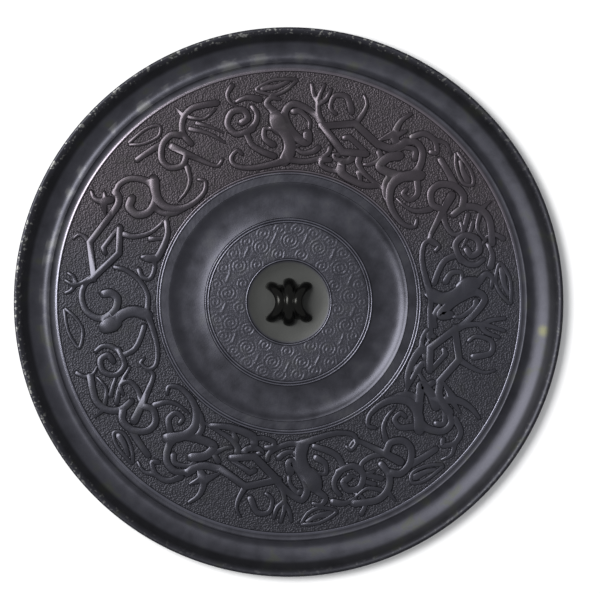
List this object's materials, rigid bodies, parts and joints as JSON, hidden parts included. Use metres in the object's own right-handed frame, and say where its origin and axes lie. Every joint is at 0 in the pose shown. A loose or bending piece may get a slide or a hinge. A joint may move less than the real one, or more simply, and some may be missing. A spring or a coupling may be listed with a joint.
{
  "type": "ancient bronze mirror",
  "caption": "Round cast bronze mirror lying face down, its back carved with coiled dragons around a ridged loop knob for a cord.",
  "frame": {"origin": "centre of the flat polished face, which is the underside as it lies", "axes": "+Z along the mirror's axis, out of the ornamented back; the knob's tunnel runs along X"},
  "size_m": [0.19, 0.19, 0.0096],
  "materials": {
    "patinated_bronze": "cast high-tin bronze with a dark, glossy blue-black patina and thin olive and purplish patches"
  },
  "bodies": {
    "root": {"mirror": "patinated_bronze"}
  },
  "joints": []
}
